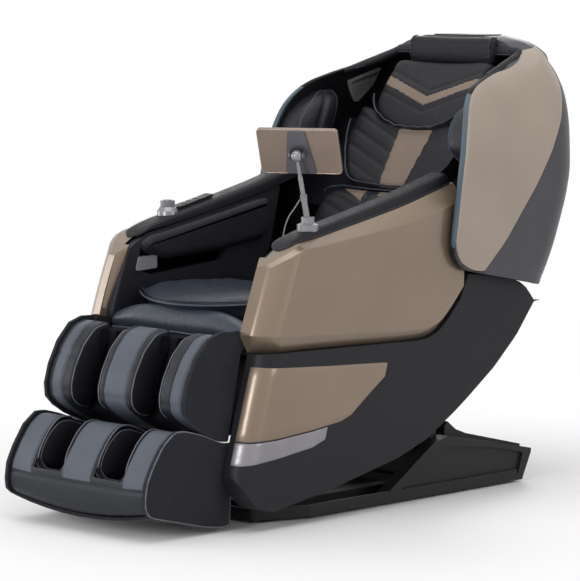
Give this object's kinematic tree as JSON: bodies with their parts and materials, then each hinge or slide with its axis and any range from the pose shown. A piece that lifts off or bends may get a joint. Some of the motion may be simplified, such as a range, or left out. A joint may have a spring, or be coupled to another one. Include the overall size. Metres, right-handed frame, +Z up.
{
  "type": "massage chair",
  "caption": "Full-body zero-gravity massage chair with a reclining hooded back, padded leg rest, roller footrest and a tablet control on a stand.",
  "frame": {"origin": "centre of the base's footprint on the floor, on the underside of the middle floor strip", "axes": "+Z up, -Y the front where the feet go, +X the sitter's left"},
  "size_m": [0.7462, 1.5289, 1.2038],
  "materials": {
    "floor_rubber": "matt",
    "base_plastic": "fine grain",
    "black_steel": "powder coat",
    "wheel_plastic": "smooth",
    "axle_steel": "turned",
    "navy_leather": "grained, satin",
    "charcoal_leather": "grained",
    "charcoal_fabric": "woven",
    "dark_shell": "satin",
    "bronze_gloss": "high gloss metallic",
    "hood_bronze": "satin metallic",
    "hood_dark": "satin",
    "silver_trim": "brushed look",
    "rim_blue": "soft gloss",
    "black_gloss": "gloss",
    "button_grey": "satin",
    "roller_rubber": "smooth",
    "stand_chrome": "polished",
    "bracket_grey": "satin",
    "tablet_bronze": "anodised",
    "screen_glass": "gloss",
    "cable_grey": "smooth",
    "motor_steel": "satin"
  },
  "bodies": {
    "base": {"floor_strips": "floor_rubber", "base_shell": "base_plastic", "base_frame": "black_steel", "wheel_axles": "axle_steel", "power_inlet": "base_plastic", "tilt_gear_motor": "motor_steel"},
    "wheel_l": {"transport_wheel_l": "wheel_plastic"},
    "wheel_r": {"transport_wheel_r": "wheel_plastic"},
    "rocker": {"power_rocker": "base_plastic"},
    "seat": {"seat_frame": "black_steel", "seat_pan": "black_steel", "seat_cushion": "navy_leather", "seat_apron": "charcoal_leather", "side_shell_l": "dark_shell", "side_shell_r": "dark_shell", "lower_panels": "bronze_gloss", "side_trims": "silver_trim", "rear_cover": "dark_shell", "arm_shell_l": "bronze_gloss", "arm_shell_r": "bronze_gloss", "arm_pad_l": "charcoal_leather", "arm_pad_r": "charcoal_leather", "arm_airbag_l": "navy_leather", "arm_airbag_r": "navy_leather", "hand_blocks": "black_gloss", "control_plate": "black_gloss", "tablet_stand": "stand_chrome", "cable_grommet": "base_plastic", "cable_socket": "base_plastic", "tablet_cable": "cable_grey", "recline_gear_motor": "motor_steel"},
    "knob": {"control_knob": "black_gloss"},
    "button_1": {"button_1": "button_grey"},
    "button_2": {"button_2": "button_grey"},
    "button_3": {"button_3": "button_grey"},
    "back": {"hood_shell": "hood_dark", "hood_panel_l": "hood_bronze", "hood_panel_r": "hood_bronze", "hood_rims": "rim_blue", "shoulder_airbags": "navy_leather", "speaker_grilles": "black_gloss", "lumbar_pad": "navy_leather", "back_pad": "navy_leather", "head_pad": "navy_leather", "back_liner": "navy_leather", "back_frame": "black_steel", "pillow_strap": "charcoal_leather"},
    "carriage": {"massage_carriage": "dark_shell"},
    "kneader": {"kneading_shaft": "axle_steel", "kneading_wheels": "roller_rubber"},
    "pillow": {"head_pillow": "navy_leather"},
    "calf": {"calf_frame": "charcoal_fabric", "calf_cushion": "navy_leather"},
    "foot": {"foot_shell": "charcoal_fabric", "foot_cushion": "navy_leather"},
    "rollers": {"foot_rollers": "roller_rubber"},
    "knuckle": {"tablet_knuckle": "stand_chrome"},
    "tablet": {"tablet_bracket": "bracket_grey", "tablet_case": "tablet_bronze", "tablet_screen": "screen_glass"}
  },
  "joints": [
    {"name": "transport_wheel_l_spin", "type": "hinge", "parent": "base", "child": "wheel_l", "pos_m": [0.215, 0.44, 0.034], "axis": [1, 0, 0], "continuous": true},
    {"name": "transport_wheel_r_spin", "type": "hinge", "parent": "base", "child": "wheel_r", "pos_m": [-0.215, 0.44, 0.034], "axis": [1, 0, 0], "continuous": true},
    {"name": "power_rocker_press", "type": "hinge", "parent": "base", "child": "rocker", "pos_m": [0.125, 0.469, 0.048], "axis": [1, 0, 0], "range_deg": [-8, 8]},
    {"name": "zero_gravity_tilt", "type": "hinge", "parent": "base", "child": "seat", "pos_m": [0, 0.12, 0.165], "axis": [-1, 0, 0], "range_deg": [0, 20]},
    {"name": "control_knob_turn", "type": "hinge", "parent": "seat", "child": "knob", "pos_m": [-0.272, -0.334, 0.72707], "axis": [0, 0, 1], "range_deg": [-150, 150]},
    {"name": "button_1_press", "type": "slide", "parent": "seat", "child": "button_1", "axis": [0, 0.2157, -0.9765], "range_m": [0, 0.0015], "stiffness_N_per_m": 600, "springref_m": -0.001},
    {"name": "button_2_press", "type": "slide", "parent": "seat", "child": "button_2", "axis": [0, 0.2157, -0.9765], "range_m": [0, 0.0015], "stiffness_N_per_m": 600, "springref_m": -0.001},
    {"name": "button_3_press", "type": "slide", "parent": "seat", "child": "button_3", "axis": [0, 0.2157, -0.9765], "range_m": [0, 0.0015], "stiffness_N_per_m": 600, "springref_m": -0.001},
    {"name": "backrest_recline", "type": "hinge", "parent": "seat", "child": "back", "pos_m": [0, 0.02, 0.47], "axis": [-1, 0, 0], "range_deg": [0, 30]},
    {"name": "massage_carriage_travel", "type": "slide", "parent": "back", "child": "carriage", "axis": [0, 0.575, 0.8181], "range_m": [-0.15, 0.17]},
    {"name": "kneading_spin", "type": "hinge", "parent": "carriage", "child": "kneader", "pos_m": [0, 0.28077, 0.74527], "axis": [1, 0, 0], "continuous": true},
    {"name": "head_pillow_flip", "type": "hinge", "parent": "back", "child": "pillow", "pos_m": [0, 0.503, 1.204], "axis": [-1, 0, 0], "range_deg": [0, 150]},
    {"name": "leg_rest_lift", "type": "hinge", "parent": "seat", "child": "calf", "pos_m": [0, -0.6, 0.47], "axis": [-1, 0, 0], "range_deg": [0, 75]},
    {"name": "foot_extension", "type": "slide", "parent": "calf", "child": "foot", "axis": [0, -0.2, -0.9798], "range_m": [0, 0.151]},
    {"name": "foot_rollers_spin", "type": "hinge", "parent": "foot", "child": "rollers", "pos_m": [0, -0.782, 0.0685], "axis": [1, 0, 0], "continuous": true},
    {"name": "tablet_swivel", "type": "hinge", "parent": "seat", "child": "knuckle", "pos_m": [0.27918, -0.40703, 0.92238], "axis": [0.0405, -0.2649, 0.9634], "range_deg": [-40, 40]},
    {"name": "tablet_lean", "type": "hinge", "parent": "knuckle", "child": "tablet", "pos_m": [0.27918, -0.40703, 0.92238], "axis": [0.8829, 0.4695, 0], "range_deg": [-20, 20]}
  ],
  "couplings": [
    {"joint": "foot_extension", "follows": "leg_rest_lift", "m_per_rad": 0.11459}
  ]
}
